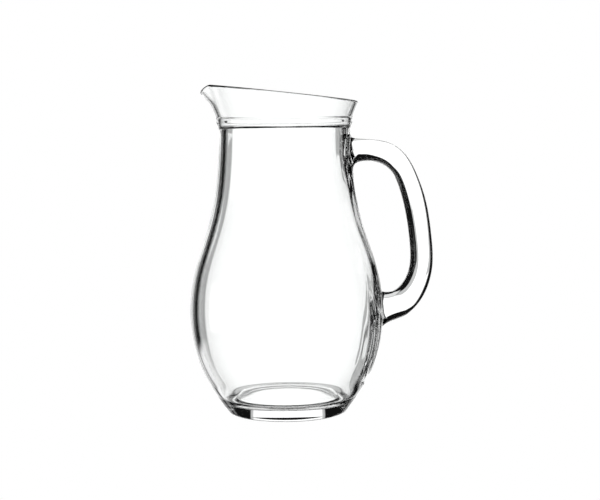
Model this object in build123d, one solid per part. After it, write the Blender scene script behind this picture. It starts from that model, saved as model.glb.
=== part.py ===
from build123d import *
import math
import os

# A one-litre glass water jug: a pressed and blown vessel with a pulled pouring lip,
# and a solid glass handle that is welded to its wall at both ends.
# Millimetres, +Z up. The origin is on the vessel's axis, in the plane that the foot stands on.
# The handle points along +X and the pouring lip along -X.

# ---- Vessel: foot and floor ----
FOOT_OUTER_RADIUS = 33.4     # outer edge of the flat ring that touches the table
FOOT_INNER_RADIUS = 30.5     # inner edge of that ring
PUNT_RADIUS = 29.0           # flat, raised part of the underside
PUNT_DEPTH = 1.2             # how far the underside is raised above the table
DISC_HEIGHT = 10.4           # raised disc in the middle of the thick glass floor, inside
DISC_RADIUS = 30.2
FLOOR_HEIGHT = 9.0           # the floor around the disc
DISC_EDGE_RADIUS = 31.4      # foot of the disc's sloping edge
FLOOR_RADIUS = 33.4          # the floor is flat out to here

# ---- Vessel: body ----
# (radius, height) of the outside, from the heel above the foot to the neck under the collar.
BODY_OUTLINE = [
    (36.2, 1.2),
    (43.5, 11.6),
    (50.0, 22.8),
    (55.6, 39.0),
    (58.0, 59.5),
    (54.9, 85.5),
    (46.6, 112.0),
    (41.0, 141.0),
    (39.3, 170.4),
]
BELLY_HEIGHT = 59.5          # where the body is widest, so the outline is vertical there
WALL = 4.4                   # wall thickness of the body
FLOOR_CORNER = [(37.0, 10.3), (40.0, 13.9)]  # points of the rounded corner between floor and wall
NECK_BOW = 0.2               # inside, the neck is this much wider at its middle
HEEL_MIDDLE = (35.0, 0.36)   # a point of the small round between foot and body

# ---- Vessel: collar ring and flared band ----
GROOVE = [(38.9, 171.1), (39.3, 171.6)]      # the fine groove under the collar
COLLAR_ROUND = [(40.4, 172.2), (40.8, 173.6)]  # the ring's lower corner
COLLAR_RADIUS = 41.1
COLLAR_TOP = 177.0           # where the flared band begins
BAND_RADIUS = 40.7           # outside of the band where it leaves the collar
BAND_SLOPE = 0.4             # radius gained per millimetre of height
BAND_WALL = 2.8              # wall thickness at the foot of the band
RIM_WALL = 2.4               # wall thickness at the rim
RIM_ROUND = 0.7              # fire-polished edge
BAND_HEIGHTS = [177.0, 180.0, 183.6, 187.0, 190.0, 193.5, 199.6]  # cut to the rim afterwards
BAND_ROOT = [(174.0, 39.6)]  # outside, the band starts within the collar (height, radius)
THROAT = [(171.4, 33.6), (173.4, 35.7)]      # inside, the neck opens into the band here
RING_POINTS = 40             # points on each horizontal outline of the band

# ---- Rim plane and pouring lip ----
RIM_HEIGHT_AT_HANDLE = 186.4  # rim height at RIM_LOW_X, over the handle
RIM_LOW_X = 44.0
RIM_SLOPE = 0.111            # the rim rises this much per millimetre towards the lip
LIP_HALF_ANGLE = 26.0        # degrees each side of -X where the lip joins the round rim
LIP_START_HEIGHT = 183.6     # the lip leaves the cone above this height
LIP_REACH = 4.2              # how far the lip is pulled out at its tip
LIP_TIP_X = -51.4
LIP_TIP_HEIGHT = 192.6
LIP_HUMP_X = -44.2           # where the rim turns down into the lip
LIP_LINE_X = [-47.0, -49.5, -51.4, -53.5]    # points of the turned-down rim line
LIP_LINE_SLOPE = 1.1         # how steeply that line leaves past the tip

# ---- Handle ----
# The bar's centre line is a run out of the neck, three tangent arcs and a run into the belly.
BAR_THICKNESS = 14.0         # from the finger side to the outside
BAR_WIDTH = 16.4             # across Y
FINGER_CORNER = 6.0          # the finger side is well rounded
OUTSIDE_CORNER = 4.0         # the outside is flatter
BAR_START = (34.0, 156.6)    # inside the neck, (x, z)
TOP_RUN = 17.4
TOP_BEND_RADIUS = 23.0
TOP_BEND_ANGLE = 72.0
GRIP_RADIUS = 165.0          # the long, slightly bowed grip
GRIP_ANGLE = 18.0
LOW_BEND_RADIUS = 27.0
LOW_BEND_ANGLE = 65.0
LOW_RUN = 15.5
# Flared welds, as (distance along the bar, half height, half width) at the root and at the bar.
TOP_WELD = [(2.0, 13.6, 12.0), (13.0, 6.5, 7.9)]
LOW_WELD = [(14.0, 12.4, 11.6), (0.0, 6.5, 7.9)]

CLEAR = 40.0                 # how far a cutting solid runs past what it cuts


def rim_height(x):
    """Height of the rim at x: a slanted plane that turns down at the lip."""
    plane = RIM_HEIGHT_AT_HANDLE + (RIM_LOW_X - x) * RIM_SLOPE
    if x > LIP_HUMP_X:
        return plane
    tip_plane = RIM_HEIGHT_AT_HANDLE + (RIM_LOW_X - LIP_TIP_X) * RIM_SLOPE
    along = (LIP_HUMP_X - x) / (LIP_HUMP_X - LIP_TIP_X)
    return plane - (tip_plane - LIP_TIP_HEIGHT) * along ** 1.5


def band_radius(angle, height, inset):
    """Radius of the flared band, with the lip pulled out around -X."""
    cone = BAND_RADIUS + BAND_SLOPE * (height - COLLAR_TOP) - inset
    from_lip = abs(math.degrees(math.atan2(math.sin(angle - math.pi), math.cos(angle - math.pi))))
    if from_lip >= LIP_HALF_ANGLE or height <= LIP_START_HEIGHT:
        return cone
    across = math.cos(math.radians(90 * from_lip / LIP_HALF_ANGLE)) ** 2
    up = (height - LIP_START_HEIGHT) / (LIP_TIP_HEIGHT - LIP_START_HEIGHT)
    return cone + LIP_REACH * across * up ** 1.3


def revolve_outline(edges):
    """Closed half-section in the XZ plane, turned about Z."""
    return revolve(make_face(Wire(edges)), Axis.Z, 360)


def inner_outline_points():
    """The body outline moved in by the wall thickness, from above the floor to the neck."""
    points = []
    for before, here, after in zip(BODY_OUTLINE[1:], BODY_OUTLINE[2:], BODY_OUTLINE[3:]):
        run_r = after[0] - before[0]
        run_z = after[1] - before[1]
        length = math.hypot(run_r, run_z)
        points.append((here[0] - WALL * run_z / length, here[1] + WALL * run_r / length))
    return points


def at(radius, height):
    """A point of a half-section."""
    return (radius, 0, height)


def body_outside():
    """Solid of the vessel's outside, from the foot ring to the collar's top."""
    belly_low = [at(r, z) for r, z in BODY_OUTLINE if z <= BELLY_HEIGHT]
    belly_high = [at(r, z) for r, z in BODY_OUTLINE if z >= BELLY_HEIGHT]
    groove_middle, groove_top = [at(r, z) for r, z in GROOVE]
    round_middle, round_top = [at(r, z) for r, z in COLLAR_ROUND]
    heel_tangent = (0.72, 0, 1)
    upright = (0, 0, 1)
    neck_tangent = (-0.03, 0, 1)
    edges = [
        Line(at(0, 0), at(FOOT_OUTER_RADIUS, 0)),
        ThreePointArc(at(FOOT_OUTER_RADIUS, 0), at(*HEEL_MIDDLE), belly_low[0]),
        Spline(belly_low, tangents=[heel_tangent, upright]),
        Spline(belly_high, tangents=[upright, neck_tangent]),
        ThreePointArc(belly_high[-1], groove_middle, groove_top),
        ThreePointArc(groove_top, round_middle, round_top),
        Line(round_top, at(COLLAR_RADIUS, COLLAR_TOP)),
        Line(at(COLLAR_RADIUS, COLLAR_TOP), at(0, COLLAR_TOP)),
        Line(at(0, COLLAR_TOP), at(0, 0)),
    ]
    return revolve_outline(edges)


def body_inside():
    """Solid of the space in the body, from the glass floor to the collar's top."""
    wall_points = [at(r, z) for r, z in inner_outline_points()]
    floor_edge = at(FLOOR_RADIUS, FLOOR_HEIGHT)
    corner = [at(r, z) for r, z in FLOOR_CORNER]
    neck_radius = BODY_OUTLINE[-1][0] - WALL
    neck_middle = at(neck_radius + NECK_BOW, (BODY_OUTLINE[-1][1] + BODY_OUTLINE[-2][1]) / 2)
    neck_top = at(neck_radius, GROOVE[0][1])
    edges = [
        Line(at(0, DISC_HEIGHT), at(DISC_RADIUS, DISC_HEIGHT)),
        Line(at(DISC_RADIUS, DISC_HEIGHT), at(DISC_EDGE_RADIUS, FLOOR_HEIGHT)),
        Line(at(DISC_EDGE_RADIUS, FLOOR_HEIGHT), floor_edge),
        Spline([floor_edge] + corner + wall_points + [neck_middle, neck_top]),
        Line(neck_top, at(neck_radius, COLLAR_TOP)),
        Line(at(neck_radius, COLLAR_TOP), at(0, COLLAR_TOP)),
        Line(at(0, COLLAR_TOP), at(0, DISC_HEIGHT)),
    ]
    return revolve_outline(edges)


def punt():
    """The shallow recess in the underside."""
    edges = [
        Line(at(0, 0), at(FOOT_INNER_RADIUS, 0)),
        Line(at(FOOT_INNER_RADIUS, 0), at(PUNT_RADIUS, PUNT_DEPTH)),
        Line(at(PUNT_RADIUS, PUNT_DEPTH), at(0, PUNT_DEPTH)),
        Line(at(0, PUNT_DEPTH), at(0, 0)),
    ]
    return revolve_outline(edges)


def ring_face(height, radius_at):
    """Horizontal face inside a smooth closed outline given as a radius at each angle."""
    ring = []
    for step in range(RING_POINTS):
        angle = math.tau * step / RING_POINTS
        radius = radius_at(angle)
        ring.append(Vector(radius * math.cos(angle), radius * math.sin(angle), height))
    even = [step / RING_POINTS for step in range(RING_POINTS + 1)]
    return make_face(Wire([Edge.make_spline(ring, periodic=True, parameters=even)]))


def band_loft(root, foot_inset, top_inset):
    """Solid of the flared band and lip above its round root, moved in by a changing inset."""
    sections = [ring_face(height, lambda angle, r=radius: r) for height, radius in root]
    for height in BAND_HEIGHTS:
        share = (height - BAND_HEIGHTS[0]) / (BAND_HEIGHTS[-1] - BAND_HEIGHTS[0])
        inset = foot_inset + (top_inset - foot_inset) * share
        sections.append(ring_face(height, lambda angle, h=height, i=inset: band_radius(angle, h, i)))
    return loft(sections)


def above_rim():
    """Solid that removes everything above the rim line."""
    top = BAND_HEIGHTS[-1] + CLEAR
    low_x = RIM_LOW_X + CLEAR
    handle_end = (low_x, 0, rim_height(low_x))
    hump = (LIP_HUMP_X, 0, rim_height(LIP_HUMP_X))
    lip_line = [hump] + [(x, 0, rim_height(x)) for x in LIP_LINE_X]
    lip_end = lip_line[-1]
    edges = [
        Line(handle_end, hump),
        Spline(lip_line, tangents=[(-1, 0, RIM_SLOPE), (-1, 0, -LIP_LINE_SLOPE)]),
        Line(lip_end, (lip_end[0], 0, top)),
        Line((lip_end[0], 0, top), (low_x, 0, top)),
        Line((low_x, 0, top), handle_end),
    ]
    side = make_face(Wire(edges))
    return extrude(side, CLEAR * 2, both=True)


def make_vessel(outside):
    """The whole vessel as one solid, with its rim edges rounded."""
    filled = outside + band_loft(BAND_ROOT, 0.0, 0.0) - above_rim()
    shell = largest(filled - body_inside() - band_loft(THROAT, BAND_WALL, RIM_WALL) - punt())
    on_rim = [edge for edge in shell.edges() if edge.bounding_box().min.Z > LIP_START_HEIGHT]
    along_rim = [edge for edge in on_rim if edge.length > 3 * RIM_WALL]
    return shell.fillet(RIM_ROUND, along_rim)


def arc_down(start, tangent, radius, angle):
    """Arc in the XZ plane from start, turning towards the table and then back to the body."""
    to_centre = Vector(tangent.Z, 0, -tangent.X)
    centre = start + to_centre * radius
    points = [centre - to_centre.rotate(Axis.Y, angle * share) * radius for share in (0.5, 1.0)]
    return ThreePointArc(start, *points)


def bar_path():
    """Centre line of the handle in the XZ plane: run, three tangent arcs, run."""
    start = Vector(BAR_START[0], 0, BAR_START[1])
    top_run = Line(start, start + Vector(TOP_RUN, 0, 0))
    bends = [
        (TOP_BEND_RADIUS, TOP_BEND_ANGLE),
        (GRIP_RADIUS, GRIP_ANGLE),
        (LOW_BEND_RADIUS, LOW_BEND_ANGLE),
    ]
    arcs = []
    last = top_run
    for radius, angle in bends:
        last = arc_down(last @ 1, last % 1, radius, angle)
        arcs.append(last)
    low_run = Line(last @ 1, (last @ 1) + (last % 1) * LOW_RUN)
    return top_run, arcs, low_run


def weld(run, stations):
    """A flare between the bar and the wall, as a loft of two ellipses square to the bar."""
    faces = []
    for distance, half_height, half_width in stations:
        place = Plane(run @ 0 + (run % 0) * distance, x_dir=(0, 1, 0), z_dir=run % 0)
        faces.append(place * Ellipse(half_width, half_height))
    return loft(faces)


def make_handle(vessel_outside):
    top_run, arcs, low_run = bar_path()
    section = Rectangle(BAR_WIDTH, BAR_THICKNESS)
    finger_side = section.vertices().group_by(Axis.Y)[0]
    section = fillet(finger_side, FINGER_CORNER)
    outside = section.vertices().group_by(Axis.Y)[-1]
    section = fillet(outside, OUTSIDE_CORNER)
    start = Plane(top_run @ 0, x_dir=(0, 1, 0), z_dir=(1, 0, 0))
    bar = sweep(start * section, path=Wire([top_run] + arcs + [low_run]))
    return bar + weld(top_run, TOP_WELD) + weld(low_run, LOW_WELD) - vessel_outside


def largest(shape):
    """The biggest solid of a shape."""
    return max(shape.solids(), key=lambda solid: solid.volume)


os.makedirs("parts", exist_ok=True)
vessel_outside = body_outside()
vessel = make_vessel(vessel_outside)
handle = largest(make_handle(vessel_outside))
export_step(vessel, "parts/vessel.step")
export_step(handle, "parts/handle.step")

for name, solid in (("vessel", vessel), ("handle", handle)):
    box = solid.bounding_box()
    print(name, "volume", round(solid.volume / 1000, 1), "cm3, box", box.min, box.max)
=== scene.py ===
import math

import bpy
import numpy as np
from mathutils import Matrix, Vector, noise


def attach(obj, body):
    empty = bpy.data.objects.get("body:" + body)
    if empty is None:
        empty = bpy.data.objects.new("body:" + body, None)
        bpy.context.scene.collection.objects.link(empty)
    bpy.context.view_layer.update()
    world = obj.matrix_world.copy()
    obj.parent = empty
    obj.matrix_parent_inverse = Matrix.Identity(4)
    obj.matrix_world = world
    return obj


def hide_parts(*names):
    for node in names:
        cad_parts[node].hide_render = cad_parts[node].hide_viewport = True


# A one-litre glass water jug, seen level with its collar against a bright backdrop.
# Metres, in the part's own frame: +Z up, handle towards +X, pouring lip towards -X.

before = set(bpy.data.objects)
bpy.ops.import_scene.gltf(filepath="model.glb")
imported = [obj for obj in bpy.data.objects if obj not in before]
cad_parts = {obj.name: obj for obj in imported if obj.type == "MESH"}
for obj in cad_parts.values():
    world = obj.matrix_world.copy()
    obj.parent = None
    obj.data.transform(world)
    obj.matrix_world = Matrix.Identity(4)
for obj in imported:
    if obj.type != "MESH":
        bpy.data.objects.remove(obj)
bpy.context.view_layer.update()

MM = 0.001

# ---------------------------------------------------------------- shape, in millimetres

# Outside of the body as (radius, height), from the heel to the neck.
BODY_OUTLINE = [
    (36.2, 1.2), (43.5, 11.6), (50.0, 22.8), (55.6, 39.0), (58.0, 59.5),
    (54.9, 85.5), (46.6, 112.0), (41.0, 141.0), (39.3, 170.4),
]
WALL = 4.4
DISC_HEIGHT = 10.4           # raised disc in the middle of the floor
DISC_RADIUS = 30.2
GROOVE_HEIGHT = 9.0          # the floor around it
GROOVE_RADIUS = 33.4
FOOT_OUTER_RADIUS = 33.4
FOOT_INNER_RADIUS = 30.5
PUNT_RADIUS = 29.0
PUNT_DEPTH = 1.2
COLLAR_TOP = 177.0
COLLAR_RING = [
    (39.3, 170.8), (39.36, 171.1), (39.5, 171.4), (39.72, 171.75), (39.98, 172.2), (40.22, 172.7),
    (40.44, 173.3), (40.64, 174.0), (40.82, 174.8), (40.96, 175.6), (41.03, 176.2), (41.03, 176.55),
    (40.95, 176.82), (40.83, 176.95), (40.72, 177.05),
]
# Inside, from the band down over a small shoulder into the neck.
THROAT = [
    (38.4, 176.4), (38.32, 175.4), (38.22, 174.4), (38.1, 173.5), (37.9, 172.9), (37.5, 172.4),
    (36.9, 172.05), (36.2, 171.75), (35.6, 171.45), (35.2, 171.1), (35.0, 170.7), (34.93, 170.2),
]
WALL_TOP = 169.0             # the even inner wall ends at these heights
WALL_BOTTOM = 20.0
FLOOR_CORNER = [(40.0, 13.9), (37.0, 10.3)]
BAND_RADIUS = 40.7
BAND_SLOPE = 0.4
BAND_WALL = 2.0
BAND_ROWS = 24
BAND_FIRST = 0.03            # the band's first row, as a share of its height

RIM_HEIGHT_AT_HANDLE = 186.4
RIM_LOW_X = 44.0
RIM_SLOPE = 0.111
LIP_HALF_ANGLE = 26.0
LIP_START_HEIGHT = 183.6
LIP_REACH = 4.2
LIP_TIP_X = -51.4
LIP_TIP_HEIGHT = 192.6
LIP_HUMP_X = -44.2
RIM_DROOP = 1.5              # powers that shape the lip
LIP_FLARE = 1.3
AXIS_GAP = 0.01              # radius of the first ring around the axis

# Mesh columns around the vessel stand closer together near the handle.
FINE_HALF_ANGLE = 32.0
FINE_STEP = 0.6
COARSE_COLUMNS = 178


def spline(points, count):
    """Smooth curve through the points: a cubic spline on chord length, as an array of count points."""
    points = np.array(points, float)
    chord = np.linalg.norm(np.diff(points, axis=0), axis=1)
    knots = np.concatenate([[0], np.cumsum(chord)])
    size = len(points)
    matrix = np.zeros((size, size))
    right = np.zeros_like(points)
    matrix[0, 0], matrix[0, 1] = 2, 1
    matrix[-1, -1], matrix[-1, -2] = 2, 1
    right[0] = 3 * (points[1] - points[0]) / chord[0]
    right[-1] = 3 * (points[-1] - points[-2]) / chord[-1]
    for i in range(1, size - 1):
        a, b = chord[i - 1], chord[i]
        matrix[i, i - 1], matrix[i, i], matrix[i, i + 1] = b, 2 * (a + b), a
        right[i] = 3 * (b * (points[i] - points[i - 1]) / a + a * (points[i + 1] - points[i]) / b)
    slopes = np.linalg.solve(matrix, right)
    at = np.linspace(0, knots[-1], count)
    cell = np.clip(np.searchsorted(knots, at, side="right") - 1, 0, size - 2)
    width = chord[cell][:, None]
    t = ((at - knots[cell])[:, None]) / width
    return (
        (2 * t**3 - 3 * t**2 + 1) * points[cell]
        + (t**3 - 2 * t**2 + t) * width * slopes[cell]
        + (-2 * t**3 + 3 * t**2) * points[cell + 1]
        + (t**3 - t**2) * width * slopes[cell + 1]
    )


def rim_height(x):
    """Height of the rim at x: a slanted plane that turns down at the lip."""
    plane = RIM_HEIGHT_AT_HANDLE + (RIM_LOW_X - x) * RIM_SLOPE
    tip_plane = RIM_HEIGHT_AT_HANDLE + (RIM_LOW_X - LIP_TIP_X) * RIM_SLOPE
    along = np.clip((LIP_HUMP_X - x) / (LIP_HUMP_X - LIP_TIP_X), 0, 2)
    return plane - (tip_plane - LIP_TIP_HEIGHT) * along**RIM_DROOP


def band_radius(angle, height):
    """Outside radius of the flared band, with the lip pulled out around -X."""
    cone = BAND_RADIUS + BAND_SLOPE * (height - COLLAR_TOP)
    from_lip = abs(math.degrees(math.atan2(math.sin(angle - math.pi), math.cos(angle - math.pi))))
    if from_lip >= LIP_HALF_ANGLE:
        return cone
    across = math.cos(math.radians(90 * from_lip / LIP_HALF_ANGLE)) ** 2
    up = np.clip((height - LIP_START_HEIGHT) / (LIP_TIP_HEIGHT - LIP_START_HEIGHT), 0, None)
    return cone + LIP_REACH * across * up**LIP_FLARE


BODY = spline(BODY_OUTLINE, 400)

# Where the inner wall is uneven behind the handle: height, reach up and down, swelling and
# ripple in millimetres, ripple waves per turn, and the half angle it covers.
WALL_DENTS = [
    (152.0, 15.0, 1.5, 0.20, 26.0, 15.0),
    (108.0, 26.0, -2.0, 0.10, 30.0, 40.0),
    (46.0, 24.0, 1.2, 0.45, 40.0, 19.0),
]
SMOOTH_BELOW = 22.0          # ripples fade out towards the floor, over this height and depth
SMOOTH_FADE = 14.0
WANDER = 160.0               # how far the ripples wander, in degrees of their wave
WANDER_SCALE = 0.03
RIPPLE_LEAN = 2.0            # degrees of wave per millimetre of height
ROUGH_SCALE = (0.11, 0.02)   # around, and up and down


def body_radius(height):
    """Outside radius of the body at a height, in millimetres."""
    return np.interp(height, BODY[:, 1], BODY[:, 0])


def offset(points, distance):
    """A polyline moved to its left by a distance."""
    run = np.gradient(points, axis=0)
    run /= np.linalg.norm(run, axis=1)[:, None]
    return points + distance * np.stack([-run[:, 1], run[:, 0]], axis=1)


def column_angles():
    """Azimuths of the mesh columns, in radians from +X."""
    fine = np.arange(-FINE_HALF_ANGLE, FINE_HALF_ANGLE + FINE_STEP / 2, FINE_STEP)
    coarse = np.linspace(FINE_HALF_ANGLE, 360 - FINE_HALF_ANGLE, COARSE_COLUMNS + 2)[1:-1]
    return np.radians(np.concatenate([fine, coarse]))


def dent(angle, height):
    """How far the inner wall swells inwards: more behind the welds, less halfway up."""
    turn = math.degrees(math.atan2(math.sin(angle), math.cos(angle)))
    total = 0.0
    for centre, reach, swell, ripple, waves, half_angle in WALL_DENTS:
        near = math.exp(-((height - centre) / reach) ** 2)
        ripple *= min(1.0, max(0.0, (height - SMOOTH_BELOW) / SMOOTH_FADE))
        across = math.exp(-(turn / half_angle) ** 2)
        wander = WANDER * noise.noise((height * WANDER_SCALE, centre, 2.0))
        streak = math.sin(math.radians(turn * waves + wander + height * RIPPLE_LEAN))
        rough = noise.noise((turn * ROUGH_SCALE[0], height * ROUGH_SCALE[1], centre))
        total += near * across * (swell + ripple * streak + 2 * ripple * rough)
    return total


def half_section(angle):
    """Closed half-section at one azimuth, from the underside's centre round to the floor's centre."""
    foot = np.array([
        (AXIS_GAP, PUNT_DEPTH), (6, PUNT_DEPTH), (14, PUNT_DEPTH), (22, PUNT_DEPTH),
        (PUNT_RADIUS - 0.6, PUNT_DEPTH), (PUNT_RADIUS, PUNT_DEPTH - 0.05), (PUNT_RADIUS + 0.8, 0.55),
        (FOOT_INNER_RADIUS, 0.06), (FOOT_INNER_RADIUS + 0.6, 0.0), (FOOT_OUTER_RADIUS - 0.5, 0.0),
        (FOOT_OUTER_RADIUS + 0.5, 0.03),
        (34.9, 0.3), (35.7, 0.8),
    ])
    body = spline(BODY_OUTLINE, 120)
    collar = np.array(COLLAR_RING)
    # outside of the band, up to where the rim's round begins
    guess = 190.0
    for _ in range(12):
        radius = band_radius(angle, guess)
        guess = float(rim_height(radius * math.cos(angle)))
    top = guess
    half = BAND_WALL / 2
    growth = band_radius(angle, top) - band_radius(angle, top - 1)
    lean = growth / math.hypot(growth, 1)
    steps = np.linspace(BAND_FIRST, 1, BAND_ROWS)
    heights = COLLAR_TOP + steps * (top - half * (1 + lean) - COLLAR_TOP)
    outer = np.array([(band_radius(angle, h), h) for h in heights])
    run = outer[-1] - outer[-2]
    run /= np.linalg.norm(run)
    across = np.array([run[1], -run[0]])
    centre = outer[-1] - across * half
    turns = np.linspace(0, math.pi, 11)[1:]
    rim = np.array([centre + half * (across * math.cos(a) + run * math.sin(a)) for a in turns])
    inner = offset(outer, BAND_WALL)[::-1][1:]
    throat = np.array(THROAT)
    inner_body = offset(body, WALL)
    inner_body[:, 0] -= [dent(angle, height) for height in inner_body[:, 1]]
    keep = inner_body[:, 1] > WALL_BOTTOM
    low = inner_body[keep][0]
    down = inner_body[keep][::-1]
    down = down[down[:, 1] < WALL_TOP]
    corner = spline([low] + FLOOR_CORNER + [(GROOVE_RADIUS, GROOVE_HEIGHT)], 22)[1:]
    floor = np.array([
        (32.4, GROOVE_HEIGHT), (31.6, GROOVE_HEIGHT + 0.15), (31.1, GROOVE_HEIGHT + 0.5),
        (30.8, DISC_HEIGHT - 0.4), (30.5, DISC_HEIGHT - 0.1), (DISC_RADIUS, DISC_HEIGHT),
        (29.4, DISC_HEIGHT), (24.0, DISC_HEIGHT), (18.0, DISC_HEIGHT), (12.0, DISC_HEIGHT),
        (6.0, DISC_HEIGHT), (AXIS_GAP, DISC_HEIGHT),
    ])
    return np.concatenate([foot, body, collar, outer, rim, inner, throat, down, corner, floor])


def mesh_object(name, vertices, faces, materials=()):
    mesh = bpy.data.meshes.new(name)
    mesh.from_pydata([tuple(v) for v in vertices], [], faces)
    mesh.validate()
    mesh.update()
    for polygon in mesh.polygons:
        polygon.use_smooth = True
    for material in materials:
        mesh.materials.append(material)
    thing = bpy.data.objects.new(name, mesh)
    bpy.context.scene.collection.objects.link(thing)
    return thing


def weld_reach(y, z, weld):
    """Below 1 inside the outline of a weld on the wall, 1 on it."""
    centre, half_height, half_width = weld
    return abs(y / half_width) ** WELD_SQUARENESS + abs((z - centre) / half_height) ** WELD_SQUARENESS


def build_vessel(materials):
    vertices = []
    rows = None
    angles = column_angles()
    around = len(angles)
    for angle in angles:
        section = half_section(angle)
        rows = len(section)
        for radius, height in section:
            vertices.append((radius * math.cos(angle) * MM, radius * math.sin(angle) * MM, height * MM))
    faces = []
    for column in range(around):
        here = column * rows
        there = ((column + 1) % around) * rows
        for row in range(rows - 1):
            faces.append((here + row, there + row, there + row + 1, here + row + 1))
    for row, height, flip in ((0, PUNT_DEPTH, True), (rows - 1, DISC_HEIGHT, False)):
        centre = len(vertices)
        vertices.append((0, 0, height * MM))
        for column in range(around):
            a = column * rows + row
            b = ((column + 1) % around) * rows + row
            faces.append((b, a, centre) if flip else (a, b, centre))
    vessel = mesh_object("vessel_glass", vertices, faces, materials)
    for polygon in vessel.data.polygons:
        x, y, z = polygon.center / MM
        outside = x > 0 and polygon.normal.x > 0.5 and math.hypot(x, y) > body_radius(z) - WALL / 2
        if outside and any(weld_reach(y, z, weld) < WELD_PATCH for weld in WELDS):
            polygon.material_index = 1
    return vessel


# ---------------------------------------------------------------- handle

# Stations along the bar: inner x, inner z, outer x, outer z, half width across Y,
# then how deep the rounding goes on the finger side and on the outside.
HANDLE_STATIONS = [
    (40.9, 141.6, 40.6, 167.6, 10.6, 13.0, 4.0),
    (44.2, 148.3, 44.6, 164.3, 9.4, 9.5, 2.6),
    (48.0, 150.3, 48.6, 163.9, 8.6, 6.6, 1.4),
    (52.4, 150.2, 53.6, 163.5, 8.2, 4.6, 1.2),
    (57.4, 148.7, 61.4, 161.9, 8.2, 3.9, 1.2),
    (62.7, 144.9, 70.6, 155.9, 8.2, 3.7, 1.4),
    (66.6, 138.2, 78.2, 143.6, 8.2, 3.9, 2.0),
    (70.8, 124.0, 84.1, 126.0, 8.2, 4.0, 2.8),
    (74.0, 102.9, 87.5, 103.2, 8.2, 4.2, 4.2),
    (74.3, 89.0, 87.9, 87.6, 8.2, 4.4, 5.8),
    (71.4, 79.6, 84.3, 73.2, 8.2, 4.4, 6.6),
    (66.4, 73.5, 76.6, 61.6, 8.5, 4.4, 7.0),
    (61.6, 71.6, 67.4, 54.6, 9.3, 5.6, 9.0),
    (57.4, 73.4, 58.2, 49.2, 10.2, 8.0, 12.0),
]
# The outlines where the handle is fused to the wall: centre height, half height, half width.
WELDS = [(153.9, 12.3, 10.6), (61.6, 11.8, 10.2)]
WELD_SQUARENESS = 2.2
WELD_BLEND = 11.0            # length over which the bar turns into its weld
WELD_PATCH = 1.35            # reach of the wall faces that carry the weld mask
HANDLE_RINGS = 240
ROUND_STEPS = 20
EDGE_TURN = 15.0             # how far round its ellipse the finger side starts, in degrees
FLAT_STEPS = 4


def bar_section(thickness, half_width, finger, outside):
    """Outline of the bar as (share towards the outside -1..1, offset across Y).

    It starts at the outside's middle. Each side is half an ellipse of its own depth, with a flat
    stretch between them. The finger side leaves the flat at a soft edge."""
    half = thickness / 2
    scale = min(1.0, (thickness - 0.1) / (finger + outside))
    finger, outside = finger * scale, outside * scale
    quarter = []
    for turn in np.linspace(0, math.pi / 2, ROUND_STEPS, endpoint=False):
        quarter.append((half - outside + outside * math.cos(turn), half_width * math.sin(turn)))
    for share in np.linspace(0, 1, FLAT_STEPS, endpoint=False):
        quarter.append((half - outside - share * (thickness - outside - finger), half_width))
    lead = math.radians(EDGE_TURN)
    for turn in np.linspace(lead, math.pi / 2, ROUND_STEPS, endpoint=False):
        along = (math.sin(turn) - math.sin(lead)) / (1 - math.sin(lead))
        quarter.append((finger - half - finger * along, half_width * math.cos(turn) / math.cos(lead)))
    side = [(along / half, across) for along, across in quarter]
    other = [(along, -across) for along, across in side[1:]][::-1]
    return side + [(-1.0, 0.0)] + other


HANDLE_SIDES = len(bar_section(14.0, 8.2, 5.2, 3.0))


def wall_x(y, z):
    """X of the vessel's outer wall on the handle's side."""
    radius = body_radius(z)
    return math.sqrt(max(radius * radius - y * y, 0))


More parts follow.
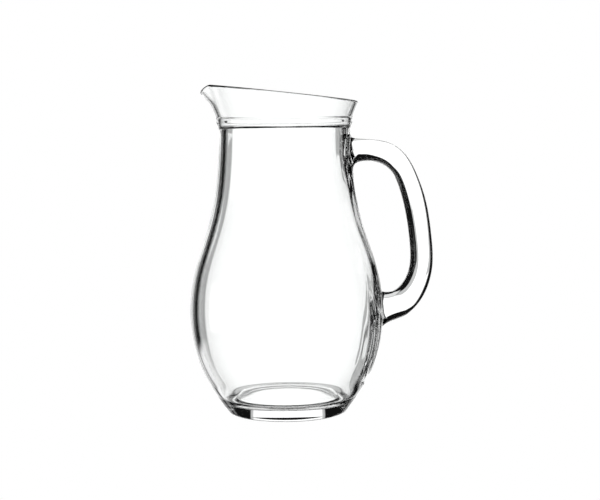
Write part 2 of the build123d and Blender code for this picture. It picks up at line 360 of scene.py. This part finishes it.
def build_handle(material):
    stations = spline(HANDLE_STATIONS, HANDLE_RINGS)
    middle = (stations[:, 0:2] + stations[:, 2:4]) / 2
    travelled = np.concatenate([[0], np.cumsum(np.linalg.norm(np.diff(middle, axis=0), axis=1))])
    total = travelled[-1]
    vertices = []
    for ring in range(HANDLE_RINGS):
        inner_x, inner_z, outer_x, outer_z, width, finger, outside = stations[ring]
        start = max(0.0, 1 - travelled[ring] / WELD_BLEND)
        end = max(0.0, 1 - (total - travelled[ring]) / WELD_BLEND)
        pull = max(start, end)
        pull = pull * pull * (3 - 2 * pull)
        thickness = math.hypot(outer_x - inner_x, outer_z - inner_z)
        section = bar_section(thickness, width, finger, outside)
        for across, y in section:
            turn = math.atan2(y / width, across)
            reach = (abs(math.cos(turn)) ** WELD_SQUARENESS + abs(math.sin(turn)) ** WELD_SQUARENESS)
            reach = reach ** (-1 / WELD_SQUARENESS)
            across += pull * (reach * math.cos(turn) - across)
            y += pull * (width * reach * math.sin(turn) - y)
            x = (inner_x + outer_x) / 2 + (outer_x - inner_x) / 2 * across
            z = (inner_z + outer_z) / 2 + (outer_z - inner_z) / 2 * across
            x += pull * (wall_x(y, z) - x)
            vertices.append((x * MM, y * MM, z * MM))
    faces = []
    for ring in range(HANDLE_RINGS - 1):
        for side in range(HANDLE_SIDES):
            a = ring * HANDLE_SIDES + side
            b = ring * HANDLE_SIDES + (side + 1) % HANDLE_SIDES
            faces.append((a, a + HANDLE_SIDES, b + HANDLE_SIDES, b))
    caps = []
    for ring, flip in ((0, False), (HANDLE_RINGS - 1, True)):
        first = ring * HANDLE_SIDES
        edge = vertices[first:first + HANDLE_SIDES]
        centre_z = sum(v[2] for v in edge) / HANDLE_SIDES / MM
        previous = list(range(first, first + HANDLE_SIDES))
        for share in (0.8, 0.6, 0.4, 0.2):
            row = []
            for vertex in edge:
                y = vertex[1] / MM * share
                z = centre_z + (vertex[2] / MM - centre_z) * share
                row.append(len(vertices))
                vertices.append((wall_x(y, z) * MM, y * MM, z * MM))
            for side in range(HANDLE_SIDES):
                nxt = (side + 1) % HANDLE_SIDES
                quad = (previous[side], previous[nxt], row[nxt], row[side])
                caps.append(quad[::-1] if flip else quad)
            previous = row
        centre = len(vertices)
        vertices.append((wall_x(0, centre_z) * MM, 0, centre_z * MM))
        for side in range(HANDLE_SIDES):
            nxt = (side + 1) % HANDLE_SIDES
            tri = (previous[side], previous[nxt], centre)
            caps.append(tri[::-1] if flip else tri)
    handle = mesh_object("handle_glass", vertices, faces + caps, list(material))
    for polygon in handle.data.polygons[len(faces):]:
        polygon.material_index = 1
    return handle


# ---------------------------------------------------------------- materials

def new_tree(holder):
    """Empty node tree of a material or world."""
    holder.use_nodes = True
    holder.node_tree.nodes.clear()
    return holder.node_tree


def calculate(tree, operation, *values):
    """One maths node, from numbers or sockets."""
    node = tree.nodes.new("ShaderNodeMath")
    node.operation = operation
    for socket, value in zip(node.inputs, values):
        if isinstance(value, (int, float)):
            socket.default_value = value
        else:
            tree.links.new(value, socket)
    return node.outputs[0]


def ease(tree, value, low, high, start=0.0, end=1.0):
    """Smooth step from start at low to end at high."""
    node = tree.nodes.new("ShaderNodeMapRange")
    node.interpolation_type = "SMOOTHSTEP"
    tree.links.new(value, node.inputs["Value"])
    node.inputs["From Min"].default_value = low
    node.inputs["From Max"].default_value = high
    node.inputs["To Min"].default_value = start
    node.inputs["To Max"].default_value = end
    return node.outputs["Result"]


def split(tree, socket):
    node = tree.nodes.new("ShaderNodeSeparateXYZ")
    tree.links.new(socket, node.inputs[0])
    return node.outputs["X"], node.outputs["Y"], node.outputs["Z"]


def object_position(tree):
    return tree.nodes.new("ShaderNodeTexCoord").outputs["Object"]


GLASS_IOR = 1.52
CAST_SCALE = 30.0            # size of the slight changes of tint
CLEAR_TINT = (0.990, 0.994, 0.992, 1)
DEEP_TINT = (0.976, 0.984, 0.981, 1)
WAVE_SCALE = 42.0            # waviness of the surface, and its height in metres
WAVE_HEIGHT = 0.00006


def glass_shader(tree, etched=False):
    """Clear glass with the faint waviness of a pressed and blown wall."""
    shader = tree.nodes.new("ShaderNodeBsdfPrincipled")
    shader.inputs["IOR"].default_value = GLASS_IOR
    shader.inputs["Transmission Weight"].default_value = 1.0
    place = object_position(tree)
    cast = tree.nodes.new("ShaderNodeTexNoise")
    cast.inputs["Scale"].default_value = CAST_SCALE
    cast.inputs["Detail"].default_value = 1.0
    tree.links.new(place, cast.inputs["Vector"])
    tint = tree.nodes.new("ShaderNodeMix")
    tint.data_type = "RGBA"
    tint.inputs[6].default_value = CLEAR_TINT
    tint.inputs[7].default_value = DEEP_TINT
    tree.links.new(cast.outputs["Fac"], tint.inputs["Factor"])
    tree.links.new(tint.outputs[2], shader.inputs["Base Color"])
    waves = tree.nodes.new("ShaderNodeTexNoise")
    waves.inputs["Scale"].default_value = WAVE_SCALE
    waves.inputs["Detail"].default_value = 0.0
    tree.links.new(place, waves.inputs["Vector"])
    bump = tree.nodes.new("ShaderNodeBump")
    bump.inputs["Strength"].default_value = 1.0
    bump.inputs["Distance"].default_value = WAVE_HEIGHT
    tree.links.new(waves.outputs["Fac"], bump.inputs["Height"])
    tree.links.new(bump.outputs["Normal"], shader.inputs["Normal"])
    if etched:
        x, y, z = split(tree, place)
        along = calculate(tree, "ABSOLUTE", calculate(tree, "SUBTRACT", x, FILL_LINE_X * MM))
        across = calculate(tree, "ABSOLUTE", calculate(tree, "SUBTRACT", z, FILL_LINE_HEIGHT * MM))
        on = calculate(tree, "LESS_THAN", along, FILL_LINE_LENGTH * MM / 2)
        level = calculate(tree, "LESS_THAN", across, FILL_LINE_WIDTH * MM / 2)
        on = calculate(tree, "MULTIPLY", on, level)
        on = calculate(tree, "MULTIPLY", on, calculate(tree, "LESS_THAN", y, FILL_LINE_FRONT * MM))
        tree.links.new(calculate(tree, "MULTIPLY", on, FILL_LINE_FROST), shader.inputs["Roughness"])
    else:
        shader.inputs["Roughness"].default_value = 0.0
    return shader


def glass(name, etched=False):
    material = bpy.data.materials.new(name)
    tree = new_tree(material)
    output = tree.nodes.new("ShaderNodeOutputMaterial")
    tree.links.new(glass_shader(tree, etched).outputs[0], output.inputs["Surface"])
    return material


def fused(name, masked):
    """Fused gathers have no surface between them: clear inside a weld's outline, glass outside."""
    material = bpy.data.materials.new(name)
    tree = new_tree(material)
    output = tree.nodes.new("ShaderNodeOutputMaterial")
    clear = tree.nodes.new("ShaderNodeBsdfTransparent")
    if not masked:
        tree.links.new(clear.outputs[0], output.inputs["Surface"])
        return material
    _, y, z = split(tree, object_position(tree))
    inside = None
    for centre, half_height, half_width in WELDS:
        reach = []
        for value, middle, half in ((y, 0.0, half_width), (z, centre, half_height)):
            away = calculate(tree, "SUBTRACT", value, middle * MM)
            share = calculate(tree, "DIVIDE", away, half * MM)
            reach.append(calculate(tree, "POWER", calculate(tree, "ABSOLUTE", share), WELD_SQUARENESS))
        within = calculate(tree, "LESS_THAN", calculate(tree, "ADD", *reach), 1.0)
        inside = within if inside is None else calculate(tree, "MAXIMUM", inside, within)
    mix = tree.nodes.new("ShaderNodeMixShader")
    tree.links.new(inside, mix.inputs[0])
    tree.links.new(glass_shader(tree).outputs[0], mix.inputs[1])
    tree.links.new(clear.outputs[0], mix.inputs[2])
    tree.links.new(mix.outputs[0], output.inputs["Surface"])
    return material


# The capacity line etched into the front of the neck.
FILL_LINE_HEIGHT = 160.7
FILL_LINE_X = 1.6
FILL_LINE_LENGTH = 10.4
FILL_LINE_WIDTH = 0.55
FILL_LINE_FROST = 0.3
FILL_LINE_FRONT = -30.0      # only the wall beyond this Y carries it

vessel = build_vessel([glass("clear_glass_vessel", etched=True), fused("fused_wall", masked=True)])
handle = build_handle([glass("clear_glass_handle"), fused("fused_handle_end", masked=False)])

for piece, node, slot in ((vessel, "vessel", "vessel_glass"), (handle, "handle", "handle_glass")):
    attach(piece, "root")
    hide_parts(node)

# ---------------------------------------------------------------- floor, world and camera

# Glass shows what is behind it, so the studio is a few bright windows in dark surroundings.
# Seen directly, the backdrop and the table are plain white. The last three windows stand behind
# the jug as seen from azimuths 45, 90 and 225. From any side without a window it looks dark.
SURROUNDINGS = 0.006
# Bright windows: brightness, azimuth in degrees from +Y towards +X, half width and its soft edge,
# then elevations where the window begins, is full, is last full and ends.
WINDOWS = [
    (1.30, 0.0, 13.8, 0.8, (-36.0, -30.0, 15.0, 17.0)),
    (1.30, 0.0, 22.0, 1.5, (-0.7, -0.3, 15.0, 17.0)),
    (0.62, 0.0, 24.0, 1.5, (-36.0, -30.0, 15.0, 17.0)),
    (0.85, 0.0, 28.0, 5.0, (-51.0, -48.0, -36.0, -32.0)),
    (0.95, -45.0, 12.0, 5.0, (-38.0, -33.0, -18.0, -14.0)),
    (1.30, -90.0, 12.5, 3.0, (-14.0, -11.0, 6.0, 10.0)),
    (1.20, 135.0, 14.0, 5.0, (-40.0, -34.0, 2.0, 8.0)),
]


def sine(degrees):
    return math.sin(math.radians(degrees))


def cosine(degrees):
    return math.cos(math.radians(degrees))


def window_light(tree, x, y, z, window):
    """Brightness of one window in a direction: x and y are level, z is the sine of elevation."""
    brightness, azimuth, half, edge, (begins, full, last_full, ends) = window
    level_x = calculate(tree, "MULTIPLY", x, sine(azimuth))
    level_y = calculate(tree, "MULTIPLY", y, cosine(azimuth))
    across = ease(tree, calculate(tree, "ADD", level_x, level_y), cosine(half + edge), cosine(half))
    above = ease(tree, z, sine(last_full), sine(ends), brightness, 0.0)
    light = calculate(tree, "MULTIPLY", across, above)
    return calculate(tree, "MULTIPLY", light, ease(tree, z, sine(begins), sine(full)))


FLOOR_HALF = 8.0
FLOOR_DROP = 0.0002          # keeps the floor off the foot
corners = [(-1, -1), (1, -1), (1, 1), (-1, 1)]
floor = mesh_object("floor", [(x * FLOOR_HALF, y * FLOOR_HALF, 0) for x, y in corners], [(0, 1, 2, 3)])
floor_material = bpy.data.materials.new("floor_white")
tree = new_tree(floor_material)
output = tree.nodes.new("ShaderNodeOutputMaterial")
emission = tree.nodes.new("ShaderNodeEmission")
emission.inputs["Color"].default_value = (1, 1, 1, 1)
emission.inputs["Strength"].default_value = 1.0
through = tree.nodes.new("ShaderNodeBsdfTransparent")
path = tree.nodes.new("ShaderNodeLightPath")
choice = tree.nodes.new("ShaderNodeMixShader")
tree.links.new(path.outputs["Is Camera Ray"], choice.inputs[0])
tree.links.new(through.outputs[0], choice.inputs[1])
tree.links.new(emission.outputs[0], choice.inputs[2])
tree.links.new(choice.outputs[0], output.inputs["Surface"])
floor.data.materials.append(floor_material)
floor.location.z = -FLOOR_DROP

world = bpy.data.worlds.new("studio")
bpy.context.scene.world = world
tree = new_tree(world)
output = tree.nodes.new("ShaderNodeOutputWorld")
background = tree.nodes.new("ShaderNodeBackground")
background.inputs["Color"].default_value = (1, 1, 1, 1)
x, y, z = split(tree, tree.nodes.new("ShaderNodeTexCoord").outputs["Generated"])
squares = calculate(tree, "ADD", calculate(tree, "MULTIPLY", x, x), calculate(tree, "MULTIPLY", y, y))
level = calculate(tree, "MAXIMUM", calculate(tree, "SQRT", squares), 0.0001)
x, y = calculate(tree, "DIVIDE", x, level), calculate(tree, "DIVIDE", y, level)
light = SURROUNDINGS
for window in WINDOWS:
    light = calculate(tree, "MAXIMUM", light, window_light(tree, x, y, z, window))
path = tree.nodes.new("ShaderNodeLightPath")
pick = tree.nodes.new("ShaderNodeMix")
pick.data_type = "FLOAT"
tree.links.new(path.outputs["Is Camera Ray"], pick.inputs["Factor"])
tree.links.new(light, pick.inputs[2])
pick.inputs[3].default_value = 1.0
tree.links.new(pick.outputs[0], background.inputs["Strength"])
tree.links.new(background.outputs[0], output.inputs["Surface"])

LENS = 85.4
CAMERA_PLACE = (0.0, -0.85, 0.178)
CAMERA_AIM = (0.0084, 0.0, 0.0975)
CAMERA_ROLL = -0.6
LIGHT_BOUNCES = 40
GLOSSY_BOUNCES = 16

scene = bpy.context.scene
scene.view_settings.view_transform = "Standard"
scene.cycles.max_bounces = LIGHT_BOUNCES
scene.cycles.transmission_bounces = LIGHT_BOUNCES
scene.cycles.glossy_bounces = GLOSSY_BOUNCES
scene.cycles.transparent_max_bounces = LIGHT_BOUNCES
scene.cycles.caustics_reflective = True
scene.cycles.caustics_refractive = True
scene.cycles.use_denoising = True

camera_data = bpy.data.cameras.new("camera")
camera = bpy.data.objects.new("camera", camera_data)
scene.collection.objects.link(camera)
scene.camera = camera
camera_data.lens = LENS
camera_data.sensor_width = 36
camera_data.clip_start = 0.01
camera_data.clip_end = 50
camera.location = CAMERA_PLACE
aim = Vector(CAMERA_AIM)
direction = aim - camera.location
rotation = direction.to_track_quat("-Z", "Y")
camera.rotation_euler = rotation.to_euler()
camera.rotation_euler.rotate_axis("Z", math.radians(CAMERA_ROLL))
